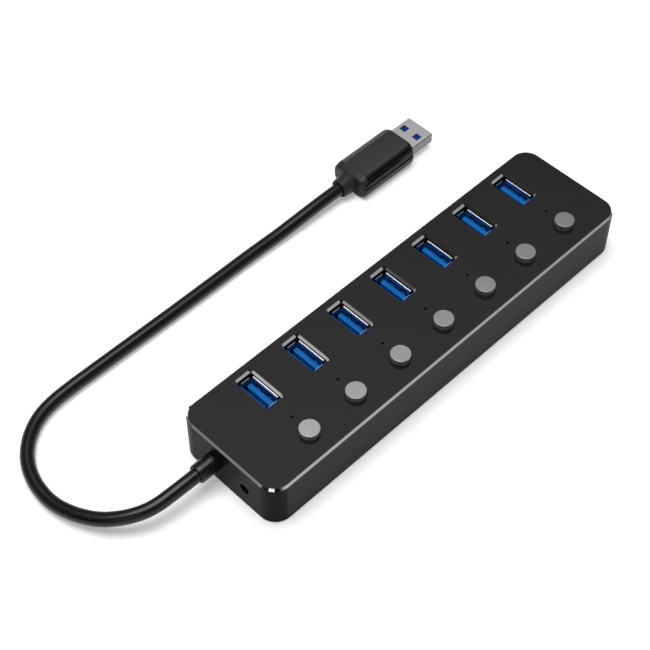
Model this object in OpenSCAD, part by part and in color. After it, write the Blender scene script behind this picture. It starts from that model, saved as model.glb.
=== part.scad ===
// Seven-port USB hub with one push switch per port, a DC inlet and a captive cable.
// Frame: origin on the supporting surface under the middle of the housing, +X along the
// row away from the cable end, +Y from the switches towards the ports, +Z up.

/* [Housing] */
// Length of the housing along the row of ports
body_l = 166.7; // [166.5:0.1:172]
// Width of the housing
body_w = 43.7; // [43.6:0.1:48]
// Height of the housing above its lower edge
body_h = 18.1; // [17.9:0.1:19]
// Radius of the four upright corners
corner_r = 6.4; // [6:0.1:8]
// Leg of the polished chamfer round the top edge
edge_chamfer = 0.65; // [0.4:0.05:1]
// Thickness of the side walls
wall_t = 1.8; // [1.6:0.1:2]
// Thickness of the top plate
top_t = 1.8; // [1.6:0.1:2]
// Thickness of the bottom cover
cover_t = 1.2; // [1:0.1:1.3]
// Height of the rubber feet standing out below the housing
foot_out = 0.5; // [0.5:0.1:1]
// Diameter of a rubber foot
foot_d = 8; // [6:0.5:10]

/* [Columns] */
// Distance between neighbouring columns of port, light and switch
pitch = 20.5; // [20:0.1:20.8]
// Distance of the middle column from the middle of the housing
row_shift = 2.7; // [2.2:0.1:3.2]
// Distance of the port row from the housing's centre line
port_y = 10.8; // [10.4:0.1:11]
// Distance of the light row from the housing's centre line
light_y = -4.2; // [-4.6:0.1:-4]
// Distance of the switch row from the housing's centre line
switch_y = -12.2; // [-12.6:0.1:-12]

/* [Ports] */
// Long side of a port opening, inside its chamfer
port_hole_l = 14; // [13.8:0.1:14.2]
// Short side of a port opening, inside its chamfer
port_hole_w = 6.3; // [6:0.1:6.4]
// Leg of the chamfer round a port opening
port_chamfer = 0.7; // [0.4:0.05:0.9]
// Depth of the socket's rim below the top face
rim_depth = 1.6; // [1.3:0.1:1.7]
// Outside length of a socket shell
socket_l = 13.1; // [13:0.05:13.2]
// Outside width of a socket shell
socket_w = 5.72; // [5.6:0.02:5.76]
// Thickness of the shell's sheet
sheet_t = 0.3; // [0.25:0.05:0.35]
// Width of the tongue
tongue_l = 11.1; // [11:0.05:11.2]
// Thickness of the tongue
tongue_t = 1.84; // [1.8:0.02:1.9]

/* [Switches] */
// Diameter of a button cap
cap_d = 7; // [6.8:0.1:7.4]
// Height of a cap above the top face
cap_rise = 2.2; // [1.9:0.1:2.4]
// Gap round a cap in its hole
cap_gap = 0.2; // [0.15:0.05:0.3]
// Travel of a button
travel = 1.5; // [1:0.1:1.6]

/* [Cable and plug] */
// Diameter of the cable
cable_d = 4.9; // [4.6:0.1:5]
// Length of the plug's moulded grip
grip_l = 27.5; // [26.5:0.5:28]
// Width of the plug's moulded grip
grip_w = 16.2; // [15.5:0.1:16.5]
// Height of the plug's moulded grip
grip_h = 9.4; // [8.8:0.1:9.6]
// Length of metal shell that stands out of the grip
plug_out = 11.1; // [11:0.1:12]

/* [Hidden] */
$fn = 64;
columns = 7;
eps = 0.05;

// Levels, from the supporting surface up
z_low = foot_out;
z_cover = z_low + cover_t;
board_z = z_low + 2.5;
board_t = 1.6;
z_board = board_z + board_t;
z_top = z_low + body_h;
z_plate = z_top - top_t;
z_rim = z_top - rim_depth;

// Inside of the housing
inner_l = body_l - 2 * wall_t;
inner_w = body_w - 2 * wall_t;
inner_r = corner_r - wall_t;
x_end = -body_l / 2;
x_inner = x_end + wall_t;

// Screw posts: the cover's stand at the corners, the board's between the columns
post_x = 76.5;
post_y = 15.5;
post_r = 2.8;
boss_x = [column_x(0) + pitch / 2, column_x(5) + pitch / 2];
boss_y = 17;
boss_r = 2.4;
screw_r = 0.95;
pilot_r = 1;
head_r = 1.9;
foot_x = 62;
foot_y = 14;

// Parts on the board between the columns
chip_w = 9;
chip_t = 0.9;
chip_y = -0.4;
crystal_size = [3.2, 2.5, 0.8];
crystal_y = -9;
capacitor_r = 2.5;
capacitor_h = 5.4;
capacitor_y = 8;
inductor_w = 6;
inductor_h = 3;
inductor_x = -66.2;
inductor_y = -8.2;
fuse_size = [2, 1.6, 0.6];
fuse_x = -5.4;
fuse_y = 1.2;
led_size = [1.6, 0.8, 0.7];

// Port opening
port_hole_r = 0.45;

// Socket: lips at the shell's rim, notched corners, base block and the tongue standing from it
lip_l = 11.4;
end_lip_l = 3.4;
notch_h = 1.5;
end_lip_drop = 0.15;
base_h = 1;
tongue_back = 0.66;
tongue_x = socket_w / 2 - sheet_t - tongue_back - tongue_t;
z_tongue = z_rim - 2.2;
contact_start = 3.5;

// Switch case and the plunger inside it
case_w = 7;
case_h = 6;
chamber_w = 5.2;
chamber_z = z_board + 0.8;
chamber_h = 3.6;
slot_w = 3.4;
stem_w = 3;
block_w = 4.4;
block_z = chamber_z + travel + 0.3;
block_h = 1.4;
flange_r = 4.3;
flange_h = 0.7;
z_flange = z_plate - 0.3 - flange_h;
z_socket = z_flange + 3;
z_cap = z_top + cap_rise;
cap_bevel = 0.35;

// Light row
light_hole_r = 0.5;
guide_r = 0.45;
guide_foot_r = 1.5;
guide_recess = 0.9;

// DC inlet for a 3.5 mm barrel with a 1.35 mm pin
jack_y = -8.3;
jack_z = z_low + 8;
jack_hole_r = 2;
jack_gap = 1.2;
jack_l = 10.5;
jack_w = 6.4;
jack_h = 7;
jack_bore_r = 1.78;
jack_bore_l = 8.5;
jack_pin_r = 0.65;

// Gland that holds the cable in the end wall
gland_y = 5.4;
gland_z = z_low + 9.1;
gland_l = 7.5;
gland_r = 3.4;
gland_tip_r = 3.3;
neck_r = 2.95;
neck_hole_r = 3.05;
gland_flange_r = 4.4;
gland_flange_t = 1.5;
cable_r = cable_d / 2;
bore_r = cable_r + 0.05;

// Plug, lying flat beside the housing with its shell along +X
plug_y = 63.2;
plug_z = grip_h / 2;
grip_x = 34.8;
grip_front = grip_x + grip_l;
grip_r = 3.4;
grip_bevel = 2.8;
collar_l = 4.8;
collar_r = 4;
collar_tip_r = 3.5;
shell_w = 12;
shell_h = 4.5;
shell_in = 11;
shell_back = grip_front - shell_in;
shell_front = grip_front + plug_out;
window_w = 2.7;
window_y = 3.15;
window_x = shell_front - 5.4;
insulator_t = 1.9;
cable_end_x = 44;

// Route of the cable's centre line, from inside the gland to inside the plug
cable_start_x = -78;
ROUTE = [
    [cable_start_x, gland_y, gland_z], [-85, gland_y, gland_z], [-91, gland_y, gland_z],
    [-96.5, 5.5, 9.5], [-101, 5.8, 9.1], [-105.5, 6.3, 8.6], [-109.5, 7.4, 8],
    [-113.6, 9.5, 7.3], [-117.5, 12.6, 6.4], [-121, 16.6, 5.4], [-123.7, 21.4, 4.5],
    [-125.7, 26.9, 3.6], [-126.8, 32.7, 2.9], [-126.7, 38.8, 2.6], [-125.4, 44.9, 2.5],
    [-122.8, 50.6, 2.5], [-118.9, 55.5, 2.5], [-114.1, 59.3, 2.5], [-108.7, 61.9, 2.5],
    [-103, 63.2, 2.5], [-96, 63.7, 2.5], [-86, 63.8, 2.5], [-74, 63.8, 2.5],
    [-62, 63.8, 2.5], [-50, 63.8, 2.5], [-38, 63.9, 2.5], [-26, 64, 2.5],
    [-16, 64.1, 2.55], [-8, 64, 2.7], [0, 63.8, 2.9], [8, 63.6, 3.5], [15, 63.4, 4.1],
    [21, 63.3, 4.5], [28.5, plug_y, plug_z], [36, plug_y, plug_z], [cable_end_x, plug_y, plug_z]
];
CABLE_SIDES = 12;

function column_x(i) = row_shift + (i - (columns - 1) / 2) * pitch;

// ---- Shared shapes ----

module rounded_rect(l, w, r) {
    square([l - 2 * r, w], center = true);
    square([l, w - 2 * r], center = true);
    for (sx = [-1, 1], sy = [-1, 1])
        translate([sx * (l / 2 - r), sy * (w / 2 - r)]) circle(r);
}

module rounded_slab(l, w, h, r) {
    linear_extrude(h) rounded_rect(l, w, r);
}

// Upright rounded block whose top edge carries a flat chamfer of leg c
module chamfered_block(l, w, h, r, c) {
    translate([-l / 2 + r, 0, 0]) rotate([90, 0, 90]) linear_extrude(l - 2 * r)
        chamfered_section(w, h, c);
    translate([0, w / 2 - r, 0]) rotate([90, 0, 0]) linear_extrude(w - 2 * r)
        chamfered_section(l, h, c);
    for (sx = [-1, 1], sy = [-1, 1]) translate([sx * (l / 2 - r), sy * (w / 2 - r), 0]) {
        cylinder(h = h - c, r = r);
        translate([0, 0, h - c]) cylinder(h = c, r1 = r, r2 = r - c);
    }
}

module chamfered_section(w, h, c) {
    polygon([[-w / 2, 0], [w / 2, 0], [w / 2, h - c], [w / 2 - c, h],
             [-w / 2 + c, h], [-w / 2, h - c]]);
}

// Rounded opening that widens at 45 degrees from z = -c to z = 0 and a little beyond
module flared_opening(l, w, r, c) {
    over = c + eps;
    translate([-l / 2 + r, 0, -c]) rotate([90, 0, 90]) linear_extrude(l - 2 * r)
        polygon([[-w / 2, 0], [w / 2, 0], [w / 2 + over, over], [-w / 2 - over, over]]);
    translate([0, w / 2 - r, -c]) rotate([90, 0, 0]) linear_extrude(w - 2 * r)
        polygon([[-l / 2, 0], [l / 2, 0], [l / 2 + over, over], [-l / 2 - over, over]]);
    for (sx = [-1, 1], sy = [-1, 1]) translate([sx * (l / 2 - r), sy * (w / 2 - r), -c])
        cylinder(h = over, r1 = r, r2 = r + over);
}

// Round rod between two points
module rod(a, b, r) {
    d = b - a;
    translate(a) rotate([0, acos(d.z / norm(d)), atan2(d.y, d.x)])
        cylinder(h = norm(d), r = r, $fn = 24);
}

module at_columns() {
    for (i = [0 : columns - 1]) translate([column_x(i), 0, 0]) children();
}

module at_posts(x, y) {
    for (sx = [-1, 1], sy = [-1, 1]) translate([sx * x, sy * y, 0]) children();
}

module at_bosses() {
    for (x = boss_x, sy = [-1, 1]) translate([x, sy * boss_y, 0]) children();
}

// ---- Housing and what closes it ----

module housing() {
    color("#3b3c3d") difference() {
        union() {
            difference() {
                translate([0, 0, z_low])
                    chamfered_block(body_l, body_w, body_h, corner_r, edge_chamfer);
                translate([0, 0, z_low - 1])
                    rounded_slab(inner_l, inner_w, z_plate - z_low + 1, inner_r);
            }
            at_posts(post_x, post_y) translate([0, 0, z_cover])
                cylinder(h = z_plate - z_cover + 1, r = post_r);
            at_bosses() translate([0, 0, z_board])
                cylinder(h = z_plate - z_board + 1, r = boss_r);
        }
        at_posts(post_x, post_y) translate([0, 0, z_cover - 1]) cylinder(h = 8, r = pilot_r);
        at_bosses() translate([0, 0, z_board - 1]) cylinder(h = 7, r = pilot_r);
        at_columns() {
            translate([0, port_y, z_top]) {
                flared_opening(port_hole_w, port_hole_l, port_hole_r, port_chamfer);
                translate([0, 0, -3])
                    rounded_slab(port_hole_w, port_hole_l, 3 - port_chamfer + eps, port_hole_r);
            }
            translate([0, switch_y, z_plate - 1])
                cylinder(h = top_t + 2, r = cap_d / 2 + cap_gap);
            translate([0, light_y, z_plate - 1])
                cylinder(h = top_t + 2, r = light_hole_r, $fn = 32);
        }
        translate([x_end - 1, jack_y, jack_z]) rotate([0, 90, 0])
            cylinder(h = wall_t + 2, r = jack_hole_r);
        translate([x_end - 1, gland_y, gland_z]) rotate([0, 90, 0])
            cylinder(h = wall_t + 2, r = neck_hole_r);
    }
}

module bottom_cover() {
    clearance = 0.15;
    color("#2c2d2e") translate([0, 0, z_low]) difference() {
        rounded_slab(inner_l - 2 * clearance, inner_w - 2 * clearance, cover_t,
                     inner_r - clearance);
        at_posts(post_x, post_y) {
            translate([0, 0, -1]) cylinder(h = cover_t + 2, r = pilot_r + 0.1);
            cylinder(h = 1, r1 = head_r + 0.1, r2 = pilot_r + 0.1);
        }
        at_posts(foot_x, foot_y) translate([0, 0, -1]) cylinder(h = 1.3, r = foot_d / 2 + 0.1);
    }
}

module cross_recess() {
    cube([2.2, 0.4, 1], center = true);
    cube([0.4, 2.2, 1], center = true);
}

module cover_screws() {
    head_h = 0.9;
    color("#8c8d8f") at_posts(post_x, post_y) translate([0, 0, z_low + 0.05])
        difference() {
            rotate_extrude() polygon([[0, 0], [head_r, 0], [screw_r, head_h],
                                      [screw_r, 7], [0, 7]]);
            cross_recess();
        }
}

module rubber_feet() {
    color("#222222") at_posts(foot_x, foot_y) cylinder(h = z_low + 0.3, r = foot_d / 2);
}

// ---- Board ----

module main_board() {
    leg_w = 2.6;
    color("#1d4a2e") translate([0, 0, board_z]) difference() {
        rounded_slab(inner_l - 1.4, inner_w - 1.4, board_t, inner_r - 0.7);
        at_posts(post_x, post_y) translate([0, 0, -1]) cylinder(h = board_t + 2, r = post_r + 0.4);
        at_bosses() translate([0, 0, -1]) cylinder(h = board_t + 2, r = pilot_r + 0.1);
        at_columns() for (s = [-1, 1])
            translate([0, port_y + s * (socket_l - sheet_t) / 2, board_t / 2])
                cube([leg_w, sheet_t + 0.5, board_t + 2], center = true);
    }
}

module board_screws() {
    head_h = 1;
    color("#8c8d8f") at_bosses() translate([0, 0, board_z - head_h]) difference() {
        union() {
            cylinder(h = head_h, r = head_r);
            cylinder(h = 6.5, r = screw_r);
        }
        cross_recess();
    }
}

module hub_controllers() {
    color("#1a1a1c") for (i = [1, 4]) translate([column_x(i) + pitch / 2, chip_y, z_board])
        translate([-chip_w / 2, -chip_w / 2, 0]) cube([chip_w, chip_w, chip_t]);
}

module board_crystals() {
    color("#b8babd") for (i = [1, 4]) translate([column_x(i) + pitch / 2, crystal_y, z_board])
        translate([-crystal_size.x / 2, -crystal_size.y / 2, 0]) cube(crystal_size);
}

module port_capacitors() {
    base_w = 2 * capacitor_r + 0.2;
    color("#3a3f5a") at_columns() translate([pitch / 2, capacitor_y, z_board]) {
        cylinder(h = capacitor_h, r = capacitor_r);
        translate([-base_w / 2, -base_w / 2, 0]) cube([base_w, base_w, 0.8]);
    }
}

module power_inductor() {
    color("#4a4a4c") translate([inductor_x, inductor_y, z_board])
        rounded_slab(inductor_w, inductor_w, inductor_h, 0.8);
}

module limit_fuses() {
    color("#2f7d4f") at_columns() translate([fuse_x, fuse_y, z_board]) cube(fuse_size);
}

module status_leds() {
    color("#e8e6d8") at_columns()
        translate([-led_size.x / 2, light_y - led_size.y / 2, z_board]) cube(led_size);
}

module light_guides() {
    color("#cfd6da", 0.6) at_columns() translate([0, light_y, z_board + 0.9]) {
        rise = z_plate - z_board - 0.9;
        cylinder(h = rise, r = guide_foot_r);
        cylinder(h = rise + top_t - guide_recess, r = guide_r, $fn = 32);
    }
}

// ---- Sockets ----

module socket_shell(i) {
    h = z_rim - z_board;
    leaf_l = 6;
    leaf_z = h - 1.6 - leaf_l;
    leaf_y = 2.6;
    color("#c9cbce") translate([column_x(i), port_y, z_board]) {
        difference() {
            union() {
                rounded_slab(socket_w, socket_l, h, 0.6);
                for (s = [-1, 1]) translate([-1.1, s * (socket_l - sheet_t) / 2 - sheet_t / 2,
                                             -board_t - 0.6])
                    cube([2.2, sheet_t, board_t + 2]);
            }
            translate([0, 0, -3])
                rounded_slab(socket_w - 2 * sheet_t, socket_l - 2 * sheet_t, h + 6, 0.35);
            for (sx = [-1, 1], sy = [-1, 1])
                translate([sx * (end_lip_l / 2 + 1), sy * (lip_l / 2 + 1), h])
                    cube([2, 2, 2 * notch_h], center = true);
            for (sy = [-1, 1]) translate([0, sy * socket_l / 2, h])
                cube([end_lip_l + 1, 2 * sheet_t + 0.4, 2 * end_lip_drop], center = true);
            for (sx = [-1, 1], sy = [-1, 1])
                translate([sx * socket_w / 2, sy * leaf_y, leaf_z + leaf_l / 2])
                    cube([1, 2.8, leaf_l], center = true);
            for (sy = [-1, 1]) translate([0, sy * socket_l / 2, leaf_z + leaf_l / 2])
                cube([1.9, 1, leaf_l - 2], center = true);
        }
        for (sx = [-1, 1], sy = [-1, 1])
            translate([sx * (socket_w - sheet_t) / 2, sy * leaf_y, 0])
                leaf(sx, leaf_z - eps, leaf_l - 0.8);
    }
}

// Spring finger standing in a window of the shell, its free end bent inwards
module leaf(side, z, l) {
    bend = 0.45;
    translate([0, 0.9, z]) rotate([90, 0, 0]) linear_extrude(1.8) scale([side, 1])
        polygon([[-0.1, 0], [0.1, 0], [0.1 - bend, l - 1], [0.1, l], [-0.1, l],
                 [-0.1 - bend, l - 1]]);
}

module socket_tongue(i) {
    tip = 0.3;
    h = z_tongue - z_board;
    color("#1f63b4") translate([column_x(i), port_y, z_board]) {
        translate([-2.5, -6.2, 0]) cube([5, 12.4, base_h]);
        translate([tongue_x, tongue_l / 2, 0]) rotate([90, 0, 0]) linear_extrude(tongue_l)
            polygon([[0, 0], [tongue_t, 0], [tongue_t, h - tip], [tongue_t - tip, h],
                     [tip, h], [0, h - tip]]);
    }
}

// Contacts lie on the side of the tongue that faces away from the next port
module socket_contacts() {
    long_t = 0.12;
    short_t = 0.1;
    z_pad = z_board + base_h;
    z_short = z_tongue - contact_start - 1.4;
    color("#d8b25a") at_columns() translate([tongue_x, port_y, 0]) {
        for (y = [-3.5, -1, 1, 3.5]) translate([-long_t, y - 0.5, z_pad])
            cube([long_t, 1, z_short - 0.3 - z_pad]);
        for (y = [-4, -2, 0, 2, 4]) translate([-short_t, y - 0.3, z_short])
            cube([short_t, 0.6, 1.4]);
    }
}

// ---- Switches ----

module button_cap(i) {
    r = cap_d / 2;
    color("#a9abae") translate([column_x(i), switch_y, 0]) difference() {
        rotate_extrude($fn = 96) polygon([
            [0, z_flange], [flange_r, z_flange], [flange_r, z_flange + flange_h],
            [r, z_flange + flange_h], [r, z_cap - cap_bevel], [r - cap_bevel, z_cap], [0, z_cap]]);
        translate([-stem_w / 2, -stem_w / 2, z_flange - 1])
            cube([stem_w, stem_w, z_socket - z_flange + 1]);
    }
}

module plunger(i) {
    color("#e6e6e2") translate([column_x(i), switch_y, 0]) {
        translate([-stem_w / 2, -stem_w / 2, block_z]) cube([stem_w, stem_w, z_socket - block_z]);
        translate([-block_w / 2, -block_w / 2, block_z]) cube([block_w, block_w, block_h]);
    }
}

module switch_case(i) {
    color("#2a2a2c") translate([column_x(i), switch_y, 0]) difference() {
        translate([-case_w / 2, -case_w / 2, z_board]) cube([case_w, case_w, case_h]);
        translate([-chamber_w / 2, -chamber_w / 2, chamber_z])
            cube([chamber_w, chamber_w, chamber_h]);
        translate([-slot_w / 2, -slot_w / 2, chamber_z]) cube([slot_w, slot_w, case_h + 2]);
    }
}

module switch_pins() {
    color("#b9bcc0") at_columns() for (s = [-1, 1], x = [-2.2, 0, 2.2])
        translate([x - 0.3, switch_y + s * (case_w / 2 + 0.6) - 0.6, z_board])
            cube([0.6, 1.2, 0.4]);
}

// ---- DC inlet ----

module jack_body() {
    front = x_inner + jack_gap;
    color("#1b1b1c") difference() {
        translate([front, jack_y - jack_w / 2, z_board]) cube([jack_l, jack_w, jack_h]);
        translate([front - 1, jack_y, jack_z]) rotate([0, 90, 0])
            cylinder(h = jack_bore_l + 1, r = jack_bore_r);
        translate([front + 4, jack_y + 0.9, jack_z - 0.6]) cube([3.5, 4, 1.2]);
    }
}

module jack_pin() {
    back = x_inner + jack_gap + jack_bore_l;
    color("#c9cbce") translate([back - 7.2, jack_y, jack_z]) rotate([0, 90, 0])
        rotate_extrude($fn = 32) polygon([[0, 0], [jack_pin_r - 0.2, 0], [jack_pin_r, 0.4],
                                          [jack_pin_r, 7.2], [0, 7.2]]);
}

module jack_spring() {
    front = x_inner + jack_gap + 4.3;
    color("#c9cbce") translate([front, jack_y + 2.1, jack_z - 0.5]) cube([2.9, 0.3, 1]);
}

// ---- Cable, gland and plug ----

module cable_gland() {
    color("#242526") translate([x_end, gland_y, gland_z]) rotate([0, 90, 0]) difference() {
        rotate_extrude() polygon([
            [0, -gland_l], [gland_tip_r - 0.4, -gland_l], [gland_tip_r, -gland_l + 0.4],
            [gland_r, 0], [neck_r, 0], [neck_r, wall_t], [gland_flange_r, wall_t],
            [gland_flange_r, wall_t + gland_flange_t], [0, wall_t + gland_flange_t]]);
        translate([0, 0, -gland_l - 1])
            cylinder(h = gland_l + wall_t + gland_flange_t + 2, r = bore_r);
    }
}

module cable_leads() {
    gap = 0.5;
    from = [cable_start_x + gap, gland_y, gland_z];
    pad_x = -71.5;
    pad_y = [0, -4, -2, 2, 4];
    for (k = [0 : 4]) {
        angle = 90 + k * 72;
        color(["#b02a2a", "#e8e8e8", "#2f8f4f", "#20201f", "#2a57a8"][k])
            rod(from + [0, 1.3 * cos(angle), 1.3 * sin(angle)],
                [pad_x, gland_y + pad_y[k], z_board + 0.5], 0.4);
    }
}

function along(p, i) =
    let (a = p[max(i - 1, 0)], b = p[min(i + 1, len(p) - 1)]) (b - a) / norm(b - a);

function ring(p, i, r, sides) =
    let (t = along(p, i), s = cross(t, [0, 0, 1]), side = s / norm(s), up = cross(side, t))
    [for (k = [0 : sides - 1]) let (a = (k + 0.5) * 360 / sides)
        p[i] + r * (cos(a) * side + sin(a) * up)];

module tube(p, r, sides) {
    last = len(p) - 1;
    points = [for (i = [0 : last]) each ring(p, i, r, sides)];
    walls = [for (i = [0 : last - 1], k = [0 : sides - 1])
        let (a = i * sides + k, b = i * sides + (k + 1) % sides)
        each [[a, b, b + sides], [a, b + sides, a + sides]]];
    start = [for (k = [sides - 1 : -1 : 0]) k];
    end = [for (k = [0 : sides - 1]) last * sides + k];
    polyhedron(points, concat([start], walls, [end]), convexity = 6);
}

module cable() {
    color("#1f2021") tube(ROUTE, cable_r, CABLE_SIDES);
}

// Section of the grip across its length, drawn in by the inset
module grip_section(inset) {
    w = grip_w - 2 * inset;
    h = grip_h - 2 * inset;
    rounded_rect(w, h, grip_r - inset / 2);
}

module plug_grip() {
    color("#2d2e2f") translate([0, plug_y, plug_z]) difference() {
        union() {
            translate([grip_x + grip_bevel, 0, 0]) rotate([90, 0, 90])
                linear_extrude(grip_l - grip_bevel) grip_section(0);
            hull() {
                translate([grip_x + grip_bevel, 0, 0]) rotate([90, 0, 90])
                    linear_extrude(0.01) grip_section(0);
                translate([grip_x, 0, 0]) rotate([90, 0, 90]) linear_extrude(0.01)
                    grip_section(1.2);
            }
            translate([grip_x + eps, 0, 0]) rotate([0, -90, 0]) rotate_extrude() polygon([
                [0, 0], [collar_r, 0], [collar_tip_r, collar_l - 0.4],
                [collar_tip_r - 0.4, collar_l], [0, collar_l]]);
        }
        translate([grip_x - collar_l - 1, 0, 0]) rotate([0, 90, 0])
            cylinder(h = collar_l + 1 + cable_end_x - grip_x, r = bore_r);
        translate([shell_back, -shell_w / 2, -shell_h / 2]) cube([shell_in + 1, shell_w, shell_h]);
    }
}

module plug_shell() {
    color("#a8aaac") translate([0, plug_y, plug_z]) difference() {
        translate([shell_back, 0, 0]) rotate([90, 0, 90])
            linear_extrude(shell_front - shell_back) rounded_rect(shell_w, shell_h, 0.4);
        translate([shell_back - 1, 0, 0]) rotate([90, 0, 90])
            linear_extrude(shell_front - shell_back + 2)
                rounded_rect(shell_w - 2 * sheet_t, shell_h - 2 * sheet_t, 0.15);
        for (s = [-1, 1]) translate([window_x, s * window_y, 0])
            cube([window_w, window_w, shell_h + 2], center = true);
    }
}

module plug_insulator() {
    top = shell_h / 2 - sheet_t - eps;
    half = shell_w / 2 - sheet_t - eps;
    color("#1f63b4") translate([0, plug_y, plug_z]) {
        translate([shell_back, -half, top - insulator_t])
            cube([shell_front - 0.4 - shell_back, 2 * half, insulator_t]);
        translate([shell_back, -half, -top]) cube([shell_in - 1, 2 * half, 2 * top]);
    }
}

module plug_contacts() {
    face = plug_z + shell_h / 2 - sheet_t - eps - insulator_t;
    color("#d8b25a") translate([0, plug_y, face]) {
        for (y = [-3.5, -1, 1, 3.5]) translate([shell_front - 8.4, y - 0.5, -0.15])
            cube([7.4, 1, 0.15]);
        for (y = [-4, -2, 0, 2, 4]) translate([shell_back + shell_in + 0.4, y - 0.3, -0.5])
            cube([1.4, 0.6, 0.5]);
    }
}

// ---- Assembly ----

housing();
bottom_cover();
cover_screws();
rubber_feet();
main_board();
board_screws();
hub_controllers();
board_crystals();
port_capacitors();
power_inductor();
limit_fuses();
status_leds();
light_guides();
socket_shell(0);  // socket_shell_1
socket_shell(1);  // socket_shell_2
socket_shell(2);  // socket_shell_3
socket_shell(3);  // socket_shell_4
socket_shell(4);  // socket_shell_5
socket_shell(5);  // socket_shell_6
socket_shell(6);  // socket_shell_7
socket_tongue(0);  // socket_tongue_1
socket_tongue(1);  // socket_tongue_2
socket_tongue(2);  // socket_tongue_3
socket_tongue(3);  // socket_tongue_4
socket_tongue(4);  // socket_tongue_5
socket_tongue(5);  // socket_tongue_6
socket_tongue(6);  // socket_tongue_7
socket_contacts();
button_cap(0);  // button_cap_1
button_cap(1);  // button_cap_2
button_cap(2);  // button_cap_3
button_cap(3);  // button_cap_4
button_cap(4);  // button_cap_5
button_cap(5);  // button_cap_6
button_cap(6);  // button_cap_7
plunger(0);  // plunger_1
plunger(1);  // plunger_2
plunger(2);  // plunger_3
plunger(3);  // plunger_4
plunger(4);  // plunger_5
plunger(5);  // plunger_6
plunger(6);  // plunger_7
switch_case(0);  // switch_case_1
switch_case(1);  // switch_case_2
switch_case(2);  // switch_case_3
switch_case(3);  // switch_case_4
switch_case(4);  // switch_case_5
switch_case(5);  // switch_case_6
switch_case(6);  // switch_case_7
switch_pins();
jack_body();
jack_pin();
jack_spring();
cable_gland();
cable_leads();
cable();
plug_grip();
plug_shell();
plug_insulator();
plug_contacts();
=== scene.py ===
"""Looks of a seven-port USB hub: studio, camera, cable, detailed pieces and materials.

Units are metres in the CAD row frame: +X along the row away from the cable end,
+Y from the switches towards the ports, +Z up, floor at z = 0.
"""

import math

import bmesh
import bpy
from mathutils import Matrix, Vector


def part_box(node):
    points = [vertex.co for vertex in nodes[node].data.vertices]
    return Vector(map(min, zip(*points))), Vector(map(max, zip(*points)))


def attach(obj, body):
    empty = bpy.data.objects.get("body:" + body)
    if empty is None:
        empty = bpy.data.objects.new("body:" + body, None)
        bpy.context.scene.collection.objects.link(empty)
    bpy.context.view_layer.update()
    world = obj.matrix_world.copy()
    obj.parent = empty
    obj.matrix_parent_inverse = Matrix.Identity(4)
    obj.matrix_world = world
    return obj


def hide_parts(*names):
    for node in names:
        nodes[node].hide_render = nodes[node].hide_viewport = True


MM = 0.001
COLUMNS = range(1, 8)

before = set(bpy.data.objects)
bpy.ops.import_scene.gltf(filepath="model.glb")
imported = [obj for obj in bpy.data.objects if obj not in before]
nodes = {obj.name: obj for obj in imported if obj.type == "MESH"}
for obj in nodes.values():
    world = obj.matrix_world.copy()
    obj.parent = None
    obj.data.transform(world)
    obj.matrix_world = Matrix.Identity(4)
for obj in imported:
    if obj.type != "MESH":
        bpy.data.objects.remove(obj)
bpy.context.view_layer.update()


# ---------------------------------------------------------------- camera

CAMERA_AT = Vector((-244.88, -206.07, 412.56)) * MM
CAMERA_TO = Vector((-25.67, 14.31, 18.6)) * MM
CAMERA_LENS = 85


def make_camera():
    data = bpy.data.cameras.new("camera")
    data.lens = CAMERA_LENS
    data.sensor_width = 36
    data.clip_start = 0.01
    data.clip_end = 20
    camera = bpy.data.objects.new("camera", data)
    bpy.context.scene.collection.objects.link(camera)
    back = (CAMERA_AT - CAMERA_TO).normalized()
    right = (-back).cross(Vector((0, 0, 1))).normalized()
    up = back.cross(right)
    turn = Matrix((right, up, back)).transposed()
    camera.matrix_world = Matrix.Translation(CAMERA_AT) @ turn.to_4x4()
    bpy.context.scene.camera = camera


make_camera()


# ---------------------------------------------------------------- cable

CABLE_DIAMETER = 4.9 * MM
# The same route as in the CAD source, in millimetres until it is scaled
ROUTE_MM = [
    (-78, 5.4, 9.6), (-85, 5.4, 9.6), (-91, 5.4, 9.6),
    (-96.5, 5.5, 9.5), (-101, 5.8, 9.1), (-105.5, 6.3, 8.6), (-109.5, 7.4, 8),
    (-113.6, 9.5, 7.3), (-117.5, 12.6, 6.4), (-121, 16.6, 5.4), (-123.7, 21.4, 4.5),
    (-125.7, 26.9, 3.6), (-126.8, 32.7, 2.9), (-126.7, 38.8, 2.6), (-125.4, 44.9, 2.5),
    (-122.8, 50.6, 2.5), (-118.9, 55.5, 2.5), (-114.1, 59.3, 2.5), (-108.7, 61.9, 2.5),
    (-103, 63.2, 2.5), (-96, 63.7, 2.5), (-86, 63.8, 2.5), (-74, 63.8, 2.5),
    (-62, 63.8, 2.5), (-50, 63.8, 2.5), (-38, 63.9, 2.5), (-26, 64, 2.5),
    (-16, 64.1, 2.55), (-8, 64, 2.7), (0, 63.8, 2.9), (8, 63.6, 3.5), (15, 63.4, 4.1),
    (21, 63.3, 4.5), (28.5, 63.2, 4.7), (36, 63.2, 4.7), (44, 63.2, 4.7),
]
HALF_LENGTH = 83.35
EXIT_Y = 5.4
EXIT_Z = 9.6


def link(name, data):
    piece = bpy.data.objects.new(name, data)
    bpy.context.scene.collection.objects.link(piece)
    return piece


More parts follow.
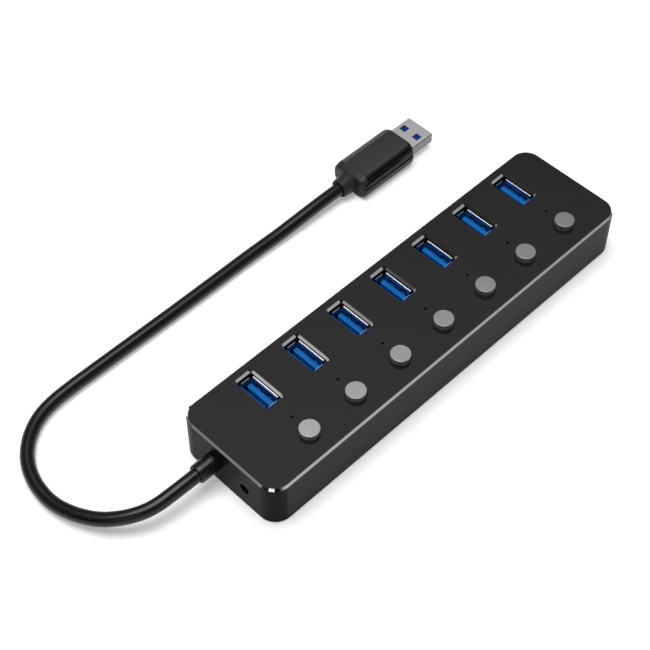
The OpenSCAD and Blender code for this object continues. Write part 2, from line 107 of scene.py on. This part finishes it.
def make_cable():
    points = [Vector(p) * MM for p in ROUTE_MM]
    data = bpy.data.curves.new("cable_jacket", "CURVE")
    data.dimensions = "3D"
    # The curve's box takes in its points' radius, so that is the real one and the depth is 1
    data.bevel_depth = 1.0
    data.bevel_resolution = 7
    data.resolution_u = 10
    data.use_fill_caps = True
    spline = data.splines.new("BEZIER")
    spline.bezier_points.add(len(points) - 1)
    for at, p in zip(spline.bezier_points, points):
        at.co = p
        at.radius = CABLE_DIAMETER / 2
        at.handle_left_type = at.handle_right_type = "AUTO"
    return link("cable_jacket", data), sum((b - a).length for a, b in zip(points, points[1:]))


cable, cable_length = make_cable()
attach(cable, "hub")
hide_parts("cable")


# ---------------------------------------------------------------- detailed pieces

# Places and sizes from the CAD source, in millimetres
Z_TOP = 18.6
PITCH = 20.5
MIDDLE_COLUMN = 4
MIDDLE_X = 2.7
SWITCH_Y = -12.2
PORT_Y = 10.8
CABLE_BORE = 2.5
PLUG_Y = 63.2
PLUG_Z = 4.7
PLUG_HALF_WIDTH = 6.0
GRIP_X = 34.8
GRIP_FRONT = 62.3
SHELL_FRONT = 73.4


def column_x(i):
    return MIDDLE_X + (i - MIDDLE_COLUMN) * PITCH


def loft(name, rings, body="hub", sharp=28):
    """Closed skin over rings of equal length, in millimetres, capped at both ends."""
    mesh = bmesh.new()
    rows = [[mesh.verts.new(Vector(p) * MM) for p in ring] for ring in rings]
    for low, high in zip(rows, rows[1:]):
        for k in range(len(low)):
            n = (k + 1) % len(low)
            mesh.faces.new((low[k], low[n], high[n], high[k]))
    mesh.faces.new(rows[0][::-1])
    mesh.faces.new(rows[-1])
    bmesh.ops.remove_doubles(mesh, verts=mesh.verts, dist=0.002 * MM)
    bmesh.ops.recalc_face_normals(mesh, faces=mesh.faces)
    for face in mesh.faces:
        face.smooth = True
    for edge in mesh.edges:
        edge.smooth = edge.calc_face_angle(0) < math.radians(sharp)
    data = bpy.data.meshes.new(name)
    mesh.to_mesh(data)
    mesh.free()
    piece = link(name, data)
    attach(piece, body)
    return piece


def lathe(name, profile, place, body="hub", sides=96, sharp=28):
    """Turned piece: profile of (radius, height) in millimetres, put in place by a matrix."""
    rings = []
    for radius, height in profile:
        turn = [2 * math.pi * k / sides for k in range(sides)]
        rings.append([place @ Vector((radius * math.cos(a), radius * math.sin(a), height))
                      for a in turn])
    return loft(name, rings, body, sharp)


def along_x(x, y, z):
    """Puts a turned piece's height along -X with its base at a point."""
    return Matrix.Translation((x, y, z)) @ Matrix.Rotation(-math.pi / 2, 4, "Y")


def rounded_edge(radius, height, leg, steps=4):
    """Quarter round of that leg, from a cylinder's side to its end."""
    arc = [math.pi / 2 * k / steps for k in range(steps + 1)]
    return [(radius - leg + leg * math.cos(a), height - leg + leg * math.sin(a)) for a in arc]


CAP_PROUD = 2.2
CAP_RADIUS = 3.5
CAP_GROOVE_RADIUS = 3.42
CAP_FLANGE_RADIUS = 4.3
CAP_HOLLOW_RADIUS = 2.2
AXIS = 0.01


def make_cap(i):
    """Turned button: satin face, rounded rim, a fine groove round its side, hollow underneath."""
    top = Z_TOP + CAP_PROUD
    groove = top - 1.0
    profile = [(AXIS, 18.8), (CAP_HOLLOW_RADIUS, 18.8), (CAP_HOLLOW_RADIUS, 15.8),
               (CAP_FLANGE_RADIUS, 15.8), (CAP_FLANGE_RADIUS, 16.5), (CAP_RADIUS, 16.5),
               (CAP_RADIUS, groove - 0.12), (CAP_GROOVE_RADIUS, groove - 0.1),
               (CAP_GROOVE_RADIUS, groove + 0.1), (CAP_RADIUS, groove + 0.12),
               (CAP_RADIUS, top - 0.24)]
    profile += rounded_edge(CAP_RADIUS, top, 0.2)
    profile += [(3.26, top), (2.0, top), (AXIS, top)]
    place = Matrix.Translation((column_x(i), SWITCH_Y, 0))
    cap = lathe(f"turned_cap_{i}", profile, place, f"button_{i}")
    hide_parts(f"button_cap_{i}")
    return cap


def make_gland():
    """Sleeve with a rounded tip and a recessed ring round the cable."""
    tip = 7.5
    profile = [(CABLE_BORE, -3), (2.95, -3), (2.95, 0), (3.3, 0), (3.4, 0.35), (3.4, 0.6),
               (3.38, 2), (3.33, 5)]
    profile += rounded_edge(3.3, tip, 0.4)
    profile += [(2.82, tip), (2.76, tip - 0.35), (CABLE_BORE, tip - 0.4)]
    gland = lathe("gland_sleeve", profile, along_x(-HALF_LENGTH, EXIT_Y, EXIT_Z))
    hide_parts("cable_gland")
    return gland


# Grip's inset from its full section: position, from the top, from the sides and base
GRIP_STATIONS = (
    (35.4, 1.3, 1.0), (35.5, 1.05, 0.65), (35.75, 0.8, 0.3), (36.1, 0.65, 0.08),
    (36.5, 0.5, 0.0), (37.9, 0.0, 0.0), (38.4, 0.0, 0.0), (60.3, 0.0, 0.0),
    (61.0, 0.0, 0.12), (61.6, 0.02, 0.45), (62.0, 0.12, 0.95), (62.2, 0.3, 1.4),
    (62.3, 0.5, 1.7),
)
GRIP_HALF = 8.1
GRIP_TOP = 9.4
GRIP_ROUND = 3.4
GROOVE_Z = 5.4
GROOVE_DEPTH = 0.22
GROOVE_HALF = 0.5
GROOVE_LIP = 0.6
GROOVE_START = 38.5
GROOVE_END = 61.5


def grip_ring(x, top_in, side_in, groove):
    """Section of the grip: flat top, round corners, a fine groove along each side."""
    half = GRIP_HALF - side_in
    top = GRIP_TOP - top_in
    low = side_in * 0.6
    r = GRIP_ROUND - side_in * 0.4
    quarter = [math.pi / 2 * k / 8 for k in range(9)]
    side = [(half - r + r * math.sin(a), low + r - r * math.cos(a)) for a in quarter]
    side += [(half, GROOVE_Z - GROOVE_LIP), (half - groove, GROOVE_Z - GROOVE_HALF),
             (half - groove, GROOVE_Z + GROOVE_HALF), (half, GROOVE_Z + GROOVE_LIP)]
    side += [(half - r + r * math.cos(a), top - r + r * math.sin(a)) for a in quarter]
    ring = side + [(-y, z) for y, z in reversed(side)]
    return [(x, PLUG_Y + y, z) for y, z in ring]


def make_grip():
    rings = []
    for x, top_in, side_in in GRIP_STATIONS:
        grooved = GROOVE_START < x < GROOVE_END
        rings.append(grip_ring(x, top_in, side_in, GROOVE_DEPTH if grooved else 0.0))
    grip = loft("plug_moulding", rings, sharp=16)
    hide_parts("plug_grip")
    tip = 4.8
    profile = [(CABLE_BORE, -1), (4.0, -1), (4.0, 0.4), (3.95, 1.2), (3.55, 4.0)]
    profile += rounded_edge(3.52, tip, 0.35)
    profile += [(3.0, tip), (2.94, tip - 0.3), (CABLE_BORE, tip - 0.35)]
    collar = lathe("plug_collar", profile, along_x(GRIP_X, PLUG_Y, PLUG_Z))
    return grip, collar


def make_seam():
    """Butt joint of the folded sheet, along the near side of the plug's shell."""
    y = PLUG_Y - PLUG_HALF_WIDTH
    z = PLUG_Z + 1.9
    half, proud, sunk = 0.06, 0.012, 0.05
    section = [(y - proud, z - half), (y + sunk, z - half), (y + sunk, z + half),
               (y - proud, z + half)]
    rings = [[(x, *at) for at in section] for x in (GRIP_FRONT - 0.2, SHELL_FRONT - 0.25)]
    seam = loft("shell_seam", rings)
    return seam


SHELL_SUNK = 1.6
LIP_HALF_LENGTH = 5.65


def make_lip(i):
    """Flared lip along the far long edge of a socket shell's mouth."""
    x = column_x(i)
    z = Z_TOP - SHELL_SUNK
    section = [(2.78, -0.06), (2.76, -0.42), (2.9, -0.42), (3.1, -0.02), (3.12, 0.04),
               (3.08, 0.08), (2.82, 0.03)]
    rings = [[(x + a, PORT_Y + y, z + b) for a, b in section]
             for y in (-LIP_HALF_LENGTH, LIP_HALF_LENGTH)]
    lip = loft(f"socket_lip_{i}", rings)
    return lip


caps = [make_cap(i) for i in COLUMNS]
gland = make_gland()
grip, collar = make_grip()
seam = make_seam()
lips = [make_lip(i) for i in COLUMNS]


# ---------------------------------------------------------------- materials

def new_material(name):
    material = bpy.data.materials.new(name)
    material.use_nodes = True
    tree = material.node_tree
    return material, tree, tree.nodes["Principled BSDF"]


def noise(tree, scale, detail=2.0, stretch=(1, 1, 1)):
    """Noise in object coordinates, scale in features a metre, stretched along an axis."""
    place = tree.nodes.new("ShaderNodeTexCoord")
    mapping = tree.nodes.new("ShaderNodeMapping")
    mapping.inputs["Scale"].default_value = stretch
    texture = tree.nodes.new("ShaderNodeTexNoise")
    texture.inputs["Scale"].default_value = scale
    texture.inputs["Detail"].default_value = detail
    tree.links.new(place.outputs["Object"], mapping.inputs["Vector"])
    tree.links.new(mapping.outputs["Vector"], texture.inputs["Vector"])
    return texture.outputs["Fac"]


def spread(tree, factor, low, high):
    """Maps a 0 to 1 factor to the range low to high."""
    span = tree.nodes.new("ShaderNodeMapRange")
    span.inputs["To Min"].default_value = low
    span.inputs["To Max"].default_value = high
    tree.links.new(factor, span.inputs["Value"])
    return span.outputs["Result"]


def between(tree, factor, first, second):
    """Colour that goes from first to second with the factor."""
    ramp = tree.nodes.new("ShaderNodeValToRGB")
    ramp.color_ramp.elements[0].color = (*first, 1)
    ramp.color_ramp.elements[1].color = (*second, 1)
    tree.links.new(factor, ramp.inputs["Fac"])
    return ramp.outputs["Color"]


def bump(tree, shader, height, strength, distance):
    node = tree.nodes.new("ShaderNodeBump")
    node.inputs["Strength"].default_value = strength
    node.inputs["Distance"].default_value = distance
    tree.links.new(height, node.inputs["Height"])
    tree.links.new(node.outputs["Normal"], shader.inputs["Normal"])


def surface(name, dark, light, rough, metallic=0.0, grain=3000, stretch=(1, 1, 1),
            relief=0.0, rough_spread=0.05, coat=0.0, coat_rough=0.1, specular=0.5):
    """A base colour that drifts between dark and light, with grain in roughness and bump."""
    material, tree, shader = new_material(name)
    fine = noise(tree, grain, 3, stretch)
    broad = noise(tree, grain / 40, 2)
    tree.links.new(between(tree, broad, dark, light), shader.inputs["Base Color"])
    rough_out = spread(tree, fine, rough - rough_spread, rough + rough_spread)
    tree.links.new(rough_out, shader.inputs["Roughness"])
    shader.inputs["Metallic"].default_value = metallic
    shader.inputs["Specular IOR Level"].default_value = specular
    if coat:
        shader.inputs["Coat Weight"].default_value = coat
        shader.inputs["Coat Roughness"].default_value = coat_rough
    if relief:
        bump(tree, shader, fine, 0.3, relief)
    return material


def grey(value, blue=0.0):
    """Linear colour from an 8-bit display grey."""
    linear = ((value / 255 + 0.055) / 1.055) ** 2.4
    return (linear, linear, linear * (1 + blue))


LOOK = {
    "top": surface("anodised_top", grey(22), grey(24), 0.09, grain=6000, rough_spread=0.02),
    "side": surface("anodised_side", grey(17, 0.1), grey(20, 0.1), 0.34, grain=5000,
                    rough_spread=0.03, specular=0.05),
    # A darker, bluer copy of the side finish for the ends and rounded corners: painted shade.
    "end": surface("anodised_end_painted_shade", (0.0035, 0.004, 0.005), (0.0045, 0.005, 0.0062), 0.34,
                   grain=5000, rough_spread=0.03, specular=0.03),
    "chamfer": surface("polished_chamfer", grey(222), grey(228), 0.05, metallic=1.0,
                       grain=2000, rough_spread=0.02),
    "port_edge": surface("polished_port_edge", grey(215), grey(225), 0.07, metallic=1.0,
                         grain=2000, rough_spread=0.02),
    # Blue on the port chamfers that face the tongues: painted reflection of the tongues.
    "port_edge_painted_reflection": surface("port_edge_painted_blue_reflection", (0.006, 0.035, 0.12),
                              (0.008, 0.045, 0.15), 0.3, grain=2000, specular=0.2),
    "lip": surface("flared_lip", grey(192), grey(200), 0.42, metallic=1.0, grain=2500),
    # Blue on the socket shells' inner faces: painted reflection of the tongues.
    "socket_painted_blue_reflection": surface("socket_painted_blue_reflection", (0.01, 0.11, 0.34), (0.014, 0.13, 0.4), 0.3,
                             metallic=0.2, grain=2500, specular=0.2),
    "seam": surface("seam_shadow", grey(30), grey(38), 0.6, specular=0.1),
    # A darker copy of the anodised finish for the walls inside the openings: painted shade.
    "inner_wall": surface("anodised_opening_painted_shade", grey(9), grey(12), 0.6, specular=0.1),
    "cover": surface("cover_plastic", grey(34), grey(40), 0.6, relief=0.00002),
    "foot": surface("foot_rubber", grey(22), grey(28), 0.8, relief=0.00003),
    "screw": surface("zinc_screw", grey(150), grey(175), 0.35, metallic=1.0),
    "board": surface("board_mask", (0.01, 0.07, 0.03), (0.015, 0.1, 0.045), 0.35, grain=900),
    "chip": surface("chip_epoxy", grey(28), grey(34), 0.6),
    "can": surface("crystal_can", grey(180), grey(200), 0.3, metallic=1.0),
    "capacitor": surface("capacitor_sleeve", (0.03, 0.035, 0.07), (0.05, 0.055, 0.1), 0.4),
    "inductor": surface("inductor_ferrite", grey(60), grey(70), 0.7),
    "fuse": surface("fuse_body", (0.02, 0.16, 0.07), (0.03, 0.2, 0.09), 0.5),
    "led": surface("led_resin", (0.7, 0.68, 0.6), (0.85, 0.83, 0.76), 0.25),
    "guide": surface("guide_acrylic", grey(6), grey(9), 0.25, specular=0.1),
    "socket": surface("socket_steel", grey(200), grey(220), 0.16, metallic=1.0, grain=2500),
    "blue": surface("port_blue", (0.004, 0.1, 0.34), (0.005, 0.11, 0.38), 0.35,
                    specular=0.1),
    # A lighter copy of the tongue blue for the face towards the mouth: painted light.
    "blue_painted_light": surface("port_blue_painted_light", (0.01, 0.17, 0.55), (0.012, 0.19, 0.6), 0.35,
                         specular=0.1),
    # A darker copy of the blue for the plug's insulator seen through the shell windows: painted
    # shade.
    "plug_blue_painted_shade": surface("plug_blue_painted_shade", (0.002, 0.024, 0.11), (0.003, 0.028, 0.13), 0.35,
                         specular=0.1),
    "gold": surface("contact_gold", (0.75, 0.5, 0.18), (0.85, 0.6, 0.25), 0.22, metallic=1.0),
    "button": surface("turned_silver", grey(135), grey(147), 0.44, metallic=1.0, grain=7000),
    "button_side": surface("button_side", grey(92), grey(100), 0.4, metallic=0.25),
    "white": surface("plunger_plastic", grey(215), grey(228), 0.5),
    "black": surface("switch_plastic", grey(28), grey(34), 0.5),
    "tin": surface("tinned_pin", grey(180), grey(205), 0.3, metallic=1.0),
    "jack": surface("jack_plastic", grey(14), grey(20), 0.35),
    "jacket": surface("cable_jacket", grey(13), grey(16), 0.26, grain=2500, relief=0.000005,
                      specular=0.3),
    "wire": surface("lead_insulation", (0.4, 0.03, 0.03), (0.5, 0.05, 0.04), 0.45),
    "grip": surface("grip_plastic", grey(42), grey(46), 0.2, grain=3500, relief=0.000002,
                    specular=0.6),
    "grip_side": surface("grip_side", grey(39), grey(44), 0.35, grain=3500,
                         relief=0.000003, specular=0.13),
    # Paler grey on the far top edge of the grip: painted highlight.
    "grip_bevel": surface("grip_bevel", grey(72), grey(77), 0.35, grain=3500, specular=0.2),
    # Near-black on the glossy near top edge of the grip: painted dark reflection.
    "grip_painted_dark_reflection": surface("grip_painted_dark_reflection", grey(9), grey(12), 0.15, grain=3500, specular=0.3),
    # Near-black in the grip's grooves: painted shade.
    "grip_groove_painted_shade": surface("grip_groove_painted_shade", grey(6), grey(9), 0.6, specular=0.05),
    "plug_steel": surface("plug_nickel", grey(200), grey(210), 0.4, metallic=1.0,
                          grain=5000, stretch=(0.15, 1, 1)),
    # A darker copy of the shell's nickel for its narrow sides: painted shade.
    "plug_steel_painted_shade": surface("plug_nickel_painted_shade", grey(112), grey(120), 0.3, metallic=1.0,
                               grain=5000, stretch=(0.15, 1, 1)),
}

NODE_LOOKS = {
    "bottom_cover": "cover", "cover_screws": "screw", "rubber_feet": "foot",
    "main_board": "board", "board_screws": "screw", "hub_controllers": "chip",
    "board_crystals": "can", "port_capacitors": "capacitor", "power_inductor": "inductor",
    "limit_fuses": "fuse", "status_leds": "led", "light_guides": "guide",
    "socket_contacts": "gold", "switch_pins": "tin", "jack_body": "jack", "jack_pin": "tin",
    "jack_spring": "tin", "cable_gland": "jacket", "cable_leads": "wire",
    "plug_grip": "grip", "plug_shell": "plug_steel", "plug_insulator": "plug_blue_painted_shade",
    "plug_contacts": "gold",
}
for i in COLUMNS:
    NODE_LOOKS[f"socket_shell_{i}"] = "socket"
    NODE_LOOKS[f"socket_tongue_{i}"] = "blue"
    NODE_LOOKS[f"button_cap_{i}"] = "button"
    NODE_LOOKS[f"plunger_{i}"] = "white"
    NODE_LOOKS[f"switch_case_{i}"] = "black"


def dress(piece, *looks, choose=None):
    """Gives a piece its finishes. choose(face) names the one for a face, else it is the first."""
    piece.data.materials.clear()
    for look in looks:
        piece.data.materials.append(LOOK[look])
    if choose:
        for face in piece.data.polygons:
            face.material_index = looks.index(choose(face))


def cap_finish(face):
    return "button_side" if -0.9 < face.normal.z < 0.3 else "button"


for name, look in NODE_LOOKS.items():
    dress(nodes[name], look)
dress(cable, "jacket")
for piece in caps:
    dress(piece, "button", "button_side", choose=cap_finish)
for piece in lips:
    dress(piece, "lip")
dress(gland, "jacket")
dress(collar, "grip_side")
dress(seam, "seam")


def grip_finish(face):
    """Smooth top, satin sides, grooves painted near-black as shade, a glossy near edge painted
    near-black as a dark reflection, and a far edge painted paler as a highlight.
    """
    normal = face.normal
    along = abs(normal.x) < 0.2
    in_groove = abs(face.center.z / MM - GROOVE_Z) < GROOVE_LIP - 0.02
    if along and 0.8 < normal.z < 0.998 and normal.y > 0:
        return "grip_bevel"
    if along and in_groove:
        return "grip_groove_painted_shade"
    if along and 0.45 < normal.z < 0.96 and normal.y < 0:
        return "grip_painted_dark_reflection"
    if normal.z < 0.3 or normal.x < -0.2:
        return "grip_side"
    return "grip"


dress(grip, "grip", "grip_side", "grip_painted_dark_reflection", "grip_bevel", "grip_groove_painted_shade", choose=grip_finish)


# Reach of the top's chamfers below the top face, and of the outer chamfer in from the sides
CHAMFER_DEPTH = 1.2 * MM
OUTER_BAND = 2.3 * MM
housing_low, housing_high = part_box("housing")


def housing_finish(face):
    """Top, chamfers, port openings, long sides, and ends with the rounded corners. Port chamfers
    facing the blue tongues get a painted blue reflection, the opening walls painted shade, and
    the ends with the rounded corners a darker, bluer copy of the side finish as painted shade.
    """
    at, normal = face.center, face.normal
    outside = min(at.x - housing_low.x, housing_high.x - at.x,
                  at.y - housing_low.y, housing_high.y - at.y) < OUTER_BAND
    at_top = at.z > housing_high.z - CHAMFER_DEPTH
    if at_top and normal.z > 0.98:
        return "top"
    if at_top and normal.z > 0.3:
        # Chamfer faces turned towards a blue tongue are painted blue as a reflection of it.
        shows_painted_blue_reflection = normal.x > 0.3 or (normal.y > 0.3 and normal.x > -0.2)
        return "chamfer" if outside else "port_edge_painted_reflection" if shows_painted_blue_reflection else "port_edge"
    # Walls inside the openings take the darker copy of the anodised finish: painted shade.
    if not outside:
        return "inner_wall"
    # Ends and rounded corners take the darker, bluer copy of the side finish: painted shade.
    return "end" if abs(normal.x) > 0.1 else "side"


dress(nodes["housing"], "side", "top", "chamfer", "inner_wall", "port_edge", "port_edge_painted_reflection",
      "end", choose=housing_finish)


def plug_shell_finish(face):
    """The narrow sides of the folded shell get a darker copy of its nickel: painted shade."""
    return "plug_steel_painted_shade" if abs(face.normal.y) > 0.5 else "plug_steel"


dress(nodes["plug_shell"], "plug_steel", "plug_steel_painted_shade", choose=plug_shell_finish)

SHELL_RIM = 2.4


def dress_socket(i):
    """The shell's inner faces, and the upward faces of its rim towards -X, get the blue of the
    tongue that they mirror, painted on as a reflection.
    """
    def finish(face):
        x = face.center.x / MM - column_x(i)
        y = face.center.y / MM - PORT_Y
        inward = face.normal.x * x + face.normal.y * y < 0 and abs(face.normal.z) < 0.5
        rim = x < -SHELL_RIM and face.normal.z > 0.5
        return "socket_painted_blue_reflection" if inward or rim else "socket"

    dress(nodes[f"socket_shell_{i}"], "socket", "socket_painted_blue_reflection", choose=finish)


def tongue_finish(face):
    """The face towards the middle of the mouth, which light reaches only from above, gets a
    lighter copy of the blue: painted light.
    """
    return "blue_painted_light" if face.normal.x < -0.5 else "blue"


for i in COLUMNS:
    dress_socket(i)
    dress(nodes[f"socket_tongue_{i}"], "blue", "blue_painted_light", choose=tongue_finish)


# ---------------------------------------------------------------- studio

def area_light(name, at, to, size, power, shade=(1, 1, 1)):
    data = bpy.data.lights.new(name, "AREA")
    data.shape = "RECTANGLE"
    data.size, data.size_y = size
    data.energy = power
    data.color = shade
    light = link(name, data)
    light.location = at
    light.rotation_euler = (Vector(to) - Vector(at)).to_track_quat("-Z", "Y").to_euler()


# Radiance of the room by the sine of elevation, and of a card low in front of the long side.
# High up in front and in a patch on the left the room is dark.
SKY = ((0.0, 0.2), (0.3, 0.13), (0.345, 0.24), (0.385, 0.62), (0.44, 0.5), (0.49, 0.06),
       (0.52, 0.02), (0.64, 0.06), (0.73, 0.33), (0.83, 0.55), (1.0, 0.95))
FRONT_CARD = 0.7
FLOOR_HALF = 3.0
FLOOR_GLOW = 0.3


def ranged(tree, value, before, after):
    """Maps a value from the range before to the range after, clamped at its ends."""
    span = tree.nodes.new("ShaderNodeMapRange")
    span.inputs["From Min"].default_value, span.inputs["From Max"].default_value = before
    span.inputs["To Min"].default_value, span.inputs["To Max"].default_value = after
    tree.links.new(value, span.inputs["Value"])
    return span.outputs["Result"]


def maths(tree, operation, first, second):
    node = tree.nodes.new("ShaderNodeMath")
    node.operation = operation
    tree.links.new(first, node.inputs[0])
    tree.links.new(second, node.inputs[1])
    return node.outputs["Value"]


def make_sky():
    world = bpy.data.worlds.new("studio")
    world.use_nodes = True
    tree = world.node_tree
    place = tree.nodes.new("ShaderNodeTexCoord")
    split = tree.nodes.new("ShaderNodeSeparateXYZ")
    tree.links.new(place.outputs["Generated"], split.inputs["Vector"])
    ramp = tree.nodes.new("ShaderNodeValToRGB")
    while len(ramp.color_ramp.elements) < len(SKY):
        ramp.color_ramp.elements.new(0.5)
    for element, (height, value) in zip(ramp.color_ramp.elements, SKY):
        element.position = height
        element.color = (value, value, value, 1)
    tree.links.new(split.outputs["Z"], ramp.inputs["Fac"])
    dim = ranged(tree, split.outputs["Y"], (-0.5, -0.2), (0.08, 1))
    front = ranged(tree, split.outputs["Y"], (0, -1), (0, 1))
    low = ranged(tree, split.outputs["Z"], (0.52, 0.47), (0, FRONT_CARD))
    left = ranged(tree, split.outputs["X"], (-0.6, -0.75), (0, 0.95))
    forward = ranged(tree, split.outputs["Y"], (0.36, 0.22), (0, 1))
    patch = maths(tree, "MULTIPLY", left, forward)
    clear = ranged(tree, patch, (0, 1), (1, 0))
    room = maths(tree, "MULTIPLY", ramp.outputs["Color"], dim)
    room = maths(tree, "MULTIPLY", room, clear)
    square = maths(tree, "MULTIPLY", front, front)
    card = maths(tree, "MULTIPLY", square, low)
    total = maths(tree, "ADD", room, card)
    tree.links.new(total, tree.nodes["Background"].inputs["Color"])
    bpy.context.scene.world = world


def floor_material():
    material = surface("floor_paint", (0.8, 0.8, 0.8), (0.82, 0.82, 0.82), 0.7, specular=0.2)
    shader = material.node_tree.nodes["Principled BSDF"]
    shader.inputs["Emission Color"].default_value = (1, 1, 1, 1)
    shader.inputs["Emission Strength"].default_value = FLOOR_GLOW
    return material


def make_studio():
    scene = bpy.context.scene
    scene.view_settings.view_transform = "Standard"
    make_sky()
    area_light("key", (-0.06, 0.14, 1.45), (0, 0, 0), (1.05, 1.05), 20)
    area_light("corner", (-1.10, -0.64, 0.75), (-0.083, -0.022, 0.019), (0.57, 0.25), 0.7)
    mesh = bpy.data.meshes.new("floor")
    half = FLOOR_HALF
    mesh.from_pydata([(-half, -half, 0), (half, -half, 0), (half, half, 0), (-half, half, 0)],
                     [], [(0, 1, 2, 3)])
    floor = link("floor", mesh)
    floor.data.materials.append(floor_material())


make_studio()
